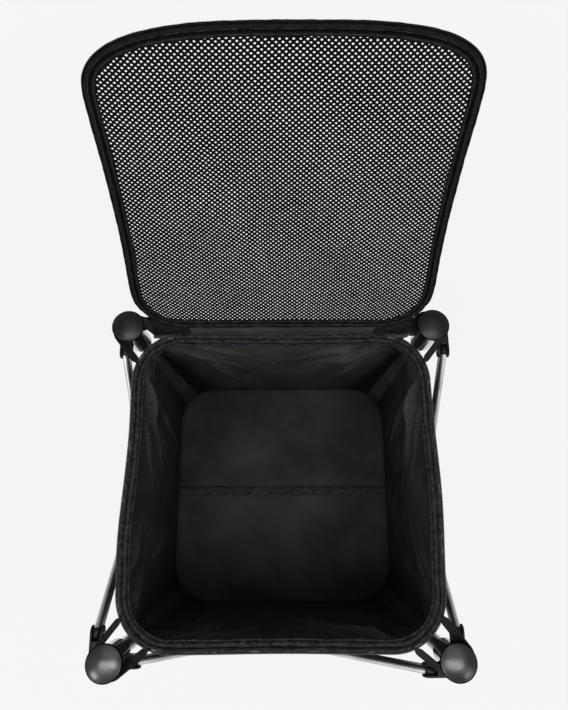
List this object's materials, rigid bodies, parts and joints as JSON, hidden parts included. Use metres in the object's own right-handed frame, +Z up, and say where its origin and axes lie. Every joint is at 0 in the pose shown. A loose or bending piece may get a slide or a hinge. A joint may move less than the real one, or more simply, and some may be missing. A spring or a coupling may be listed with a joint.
{
  "type": "folding ball cart",
  "caption": "Folding wheeled cart: four castor legs joined by scissor bars carry a deep square fabric bag for balls, closed by a zipped mesh lid hinged along the back rim.",
  "frame": {"origin": "on the ground, under the middle of the bounding box of the whole cart with its lid leaning open", "axes": "+Z up, +X to the right and +Y to the back; the lid hinges on the back rim and the front faces -Y"},
  "size_m": [0.5078, 0.6604, 1.2271],
  "materials": {
    "aluminium": "satin drawn tube",
    "polished": "polished sleeve",
    "plastic": "semi-gloss moulded black",
    "wheel": "moulded black wheel",
    "fabric": "black woven polyester",
    "binding": "black bound edge",
    "mesh": "black open polyester mesh",
    "zinc": "cast zinc"
  },
  "bodies": {
    "leg_front_left": {"leg_tube_front_left": "aluminium", "leg_sleeve_front_left": "polished", "leg_cap_front_left": "plastic", "foot_plug_front_left": "plastic", "top_bracket_front_left": "plastic", "bag_corner_front_left": "fabric", "bag_strap_front_left": "fabric", "bag_wall_front": "fabric"},
    "leg_front_right": {"leg_tube_front_right": "aluminium", "leg_sleeve_front_right": "polished", "leg_cap_front_right": "plastic", "foot_plug_front_right": "plastic", "top_bracket_front_right": "plastic", "bag_corner_front_right": "fabric", "bag_strap_front_right": "fabric"},
    "leg_back_right": {"leg_tube_back_right": "aluminium", "leg_sleeve_back_right": "polished", "leg_cap_back_right": "plastic", "foot_plug_back_right": "plastic", "top_bracket_back_right": "plastic", "bag_corner_back_right": "fabric", "bag_strap_back_right": "fabric", "bag_wall_right": "fabric"},
    "leg_back_left": {"leg_tube_back_left": "aluminium", "leg_sleeve_back_left": "polished", "leg_cap_back_left": "plastic", "foot_plug_back_left": "plastic", "top_bracket_back_left": "plastic", "bag_corner_back_left": "fabric", "bag_strap_back_left": "fabric", "bag_wall_back": "fabric", "bag_wall_left": "fabric", "zip_slider": "zinc"},
    "bar_inner_front": {"bar_inner_front": "aluminium"},
    "bar_outer_front": {"bar_outer_front": "aluminium"},
    "bar_inner_right": {"bar_inner_right": "aluminium"},
    "bar_outer_right": {"bar_outer_right": "aluminium"},
    "bar_inner_back": {"bar_inner_back": "aluminium"},
    "bar_outer_back": {"bar_outer_back": "aluminium"},
    "bar_inner_left": {"bar_inner_left": "aluminium"},
    "bar_outer_left": {"bar_outer_left": "aluminium"},
    "slider_front_left": {"slider_front_left": "plastic"},
    "slider_front_right": {"slider_front_right": "plastic"},
    "slider_back_right": {"slider_back_right": "plastic"},
    "slider_back_left": {"slider_back_left": "plastic"},
    "bag_floor_back": {"bag_floor_back": "fabric"},
    "bag_floor_front": {"bag_floor_front": "fabric"},
    "lid": {"lid_frame": "binding", "lid_mesh": "mesh", "lid_hinge_tape": "binding"},
    "castor_front_left": {"castor_fork_front_left": "plastic"},
    "wheel_front_left": {"castor_wheel_front_left": "wheel"},
    "castor_front_right": {"castor_fork_front_right": "plastic"},
    "wheel_front_right": {"castor_wheel_front_right": "wheel"},
    "castor_back_right": {"castor_fork_back_right": "plastic"},
    "wheel_back_right": {"castor_wheel_back_right": "wheel"},
    "castor_back_left": {"castor_fork_back_left": "plastic"},
    "wheel_back_left": {"castor_wheel_back_left": "wheel"},
    "pedal_front_left": {"brake_pedal_front_left": "plastic"},
    "pedal_front_right": {"brake_pedal_front_right": "plastic"}
  },
  "joints": [
    {"name": "frame_fold", "type": "hinge", "parent": "leg_back_left", "child": "bar_inner_left", "pos_m": [-0.233, 0.11122, 0.8339], "axis": [1, 0, 0], "range_deg": [0, 36.5], "deforming": ["bag_wall_front", "bag_wall_back", "bag_wall_left", "bag_wall_right", "bag_floor_front", "bag_floor_back", "lid_frame", "lid_mesh", "lid_hinge_tape"]},
    {"name": "left_middle_pivot", "type": "hinge", "parent": "bar_inner_left", "child": "bar_outer_left", "pos_m": [-0.233, -0.08128, 0.66118], "axis": [1, 0, 0], "range_deg": [-73, 0]},
    {"name": "front_left_top_pivot", "type": "hinge", "parent": "bar_outer_left", "child": "leg_front_left", "pos_m": [-0.244, -0.27378, 0.8339], "axis": [1, 0, 0], "range_deg": [0, 36.5]},
    {"name": "front_left_slider_pivot", "type": "hinge", "parent": "bar_inner_left", "child": "slider_front_left", "pos_m": [-0.233, -0.27378, 0.48846], "axis": [1, 0, 0], "range_deg": [-36.5, 0]},
    {"name": "back_left_slider_pivot", "type": "hinge", "parent": "bar_outer_left", "child": "slider_back_left", "pos_m": [-0.244, 0.11122, 0.48846], "axis": [1, 0, 0], "range_deg": [0, 36.5]},
    {"name": "back_left_top_pivot", "type": "hinge", "parent": "leg_back_left", "child": "bar_outer_back", "pos_m": [-0.1925, 0.15772, 0.8339], "axis": [0, -1, 0], "range_deg": [-36.5, 0]},
    {"name": "back_middle_pivot", "type": "hinge", "parent": "bar_outer_back", "child": "bar_inner_back", "pos_m": [0, 0.14672, 0.66118], "axis": [0, -1, 0], "range_deg": [0, 73]},
    {"name": "back_right_top_pivot", "type": "hinge", "parent": "bar_inner_back", "child": "leg_back_right", "pos_m": [0.1925, 0.14672, 0.8339], "axis": [0, -1, 0], "range_deg": [-36.5, 0]},
    {"name": "back_right_slider_pivot", "type": "hinge", "parent": "bar_outer_back", "child": "slider_back_right", "pos_m": [0.1925, 0.15772, 0.48846], "axis": [0, -1, 0], "range_deg": [0, 36.5]},
    {"name": "front_bar_top_pivot", "type": "hinge", "parent": "leg_front_left", "child": "bar_inner_front", "pos_m": [-0.1925, -0.30928, 0.8339], "axis": [0, 1, 0], "range_deg": [0, 36.5]},
    {"name": "front_middle_pivot", "type": "hinge", "parent": "bar_inner_front", "child": "bar_outer_front", "pos_m": [0, -0.30928, 0.66118], "axis": [0, 1, 0], "range_deg": [-73, 0]},
    {"name": "front_right_top_pivot", "type": "hinge", "parent": "bar_outer_front", "child": "leg_front_right", "pos_m": [0.1925, -0.32028, 0.8339], "axis": [0, 1, 0], "range_deg": [0, 36.5]},
    {"name": "front_right_slider_pivot", "type": "hinge", "parent": "bar_inner_front", "child": "slider_front_right", "pos_m": [0.1925, -0.30928, 0.48846], "axis": [0, 1, 0], "range_deg": [-36.5, 0]},
    {"name": "right_front_bar_top_pivot", "type": "hinge", "parent": "leg_front_right", "child": "bar_inner_right", "pos_m": [0.233, -0.27378, 0.8339], "axis": [-1, 0, 0], "range_deg": [0, 36.5]},
    {"name": "right_back_bar_top_pivot", "type": "hinge", "parent": "leg_back_right", "child": "bar_outer_right", "pos_m": [0.244, 0.11122, 0.8339], "axis": [-1, 0, 0], "range_deg": [-36.5, 0]},
    {"name": "back_floor_fold", "type": "hinge", "parent": "leg_back_left", "child": "bag_floor_back", "pos_m": [0, 0.11742, 0.531], "axis": [1, 0, 0], "range_deg": [0, 71.17]},
    {"name": "front_floor_fold", "type": "hinge", "parent": "leg_front_left", "child": "bag_floor_front", "pos_m": [0, -0.27998, 0.531], "axis": [-1, 0, 0], "range_deg": [0, 71.17]},
    {"name": "lid_hinge", "type": "hinge", "parent": "leg_back_left", "child": "lid", "pos_m": [0, 0.13242, 0.8573], "axis": [-1, 0, 0], "range_deg": [-117.6, 45]},
    {"name": "castor_swivel_front_left", "type": "hinge", "parent": "leg_front_left", "child": "castor_front_left", "pos_m": [-0.2225, -0.30378, 0.063], "axis": [0, 0, 1], "continuous": true},
    {"name": "wheel_spin_front_left", "type": "hinge", "parent": "castor_front_left", "child": "wheel_front_left", "pos_m": [-0.2225, -0.28678, 0.025], "axis": [1, 0, 0], "continuous": true},
    {"name": "castor_swivel_front_right", "type": "hinge", "parent": "leg_front_right", "child": "castor_front_right", "pos_m": [0.2225, -0.30378, 0.063], "axis": [0, 0, 1], "continuous": true},
    {"name": "wheel_spin_front_right", "type": "hinge", "parent": "castor_front_right", "child": "wheel_front_right", "pos_m": [0.2225, -0.28678, 0.025], "axis": [1, 0, 0], "continuous": true},
    {"name": "castor_swivel_back_right", "type": "hinge", "parent": "leg_back_right", "child": "castor_back_right", "pos_m": [0.2225, 0.14122, 0.063], "axis": [0, 0, 1], "continuous": true},
    {"name": "wheel_spin_back_right", "type": "hinge", "parent": "castor_back_right", "child": "wheel_back_right", "pos_m": [0.2225, 0.15822, 0.025], "axis": [1, 0, 0], "continuous": true},
    {"name": "castor_swivel_back_left", "type": "hinge", "parent": "leg_back_left", "child": "castor_back_left", "pos_m": [-0.2225, 0.14122, 0.063], "axis": [0, 0, 1], "continuous": true},
    {"name": "wheel_spin_back_left", "type": "hinge", "parent": "castor_back_left", "child": "wheel_back_left", "pos_m": [-0.2225, 0.15822, 0.025], "axis": [1, 0, 0], "continuous": true},
    {"name": "brake_front_left", "type": "hinge", "parent": "castor_front_left", "child": "pedal_front_left", "pos_m": [-0.2225, -0.26678, 0.0475], "axis": [-1, 0, 0], "range_deg": [0, 18]},
    {"name": "brake_front_right", "type": "hinge", "parent": "castor_front_right", "child": "pedal_front_right", "pos_m": [0.2225, -0.26678, 0.0475], "axis": [-1, 0, 0], "range_deg": [0, 18]}
  ],
  "couplings": [
    {"joint": "left_middle_pivot", "follows": "frame_fold", "ratio": -2},
    {"joint": "front_left_top_pivot", "follows": "frame_fold", "ratio": 1},
    {"joint": "front_left_slider_pivot", "follows": "frame_fold", "ratio": -1},
    {"joint": "back_left_slider_pivot", "follows": "frame_fold", "ratio": 1},
    {"joint": "back_left_top_pivot", "follows": "frame_fold", "ratio": -1},
    {"joint": "back_middle_pivot", "follows": "frame_fold", "ratio": 2},
    {"joint": "back_right_top_pivot", "follows": "frame_fold", "ratio": -1},
    {"joint": "back_right_slider_pivot", "follows": "frame_fold", "ratio": 1},
    {"joint": "front_bar_top_pivot", "follows": "frame_fold", "ratio": 1},
    {"joint": "front_middle_pivot", "follows": "frame_fold", "ratio": -2},
    {"joint": "front_right_top_pivot", "follows": "frame_fold", "ratio": 1},
    {"joint": "front_right_slider_pivot", "follows": "frame_fold", "ratio": -1},
    {"joint": "right_front_bar_top_pivot", "follows": "frame_fold", "ratio": 1},
    {"joint": "right_back_bar_top_pivot", "follows": "frame_fold", "ratio": -1},
    {"joint": "back_floor_fold", "follows": "frame_fold", "ratio": 1.95},
    {"joint": "front_floor_fold", "follows": "frame_fold", "ratio": 1.95}
  ]
}
